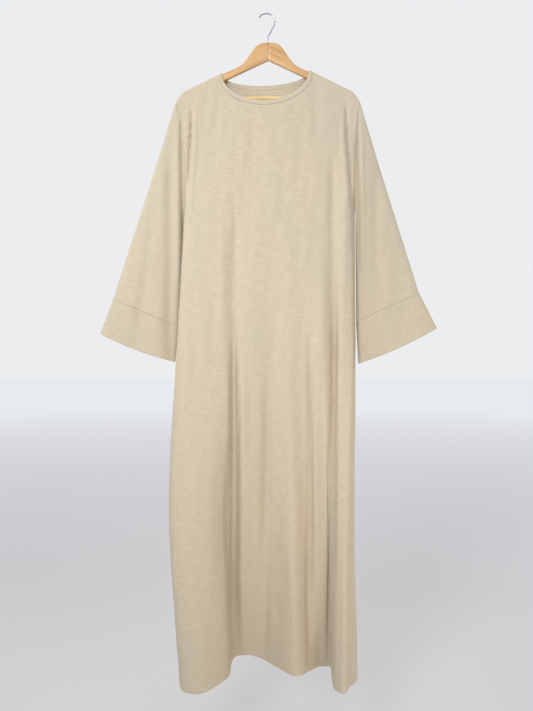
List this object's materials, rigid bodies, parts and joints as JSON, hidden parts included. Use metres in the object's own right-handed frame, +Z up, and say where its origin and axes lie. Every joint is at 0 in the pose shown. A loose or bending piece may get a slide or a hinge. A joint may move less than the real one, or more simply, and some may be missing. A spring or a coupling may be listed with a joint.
{
  "type": "abaya on a wooden hanger",
  "caption": "Long plain beige linen-look abaya with wide cuffed sleeves and a round neck, on a wooden hanger",
  "frame": {"origin": "the underside of the hook's crown, where a rail or peg holds it", "axes": "+Z up, -Y the garment's front, +X the viewer's right"},
  "size_m": [0.8704, 0.1954, 1.7038],
  "materials": {
    "cloth": "matt linen-look weave",
    "cloth_double": "matt linen-look weave",
    "wood": "satin lacquer",
    "bar_wood": "satin lacquer",
    "chrome_wire": "bright"
  },
  "bodies": {
    "root": {"front": "cloth", "back": "cloth", "sleeve_left": "cloth", "sleeve_right": "cloth", "cuff_left": "cloth_double", "cuff_right": "cloth_double", "neck_band": "cloth_double", "hanger_arm_left": "wood", "hanger_arm_right": "wood", "hanger_bar": "bar_wood", "hanger_hook": "chrome_wire"}
  },
  "joints": []
}
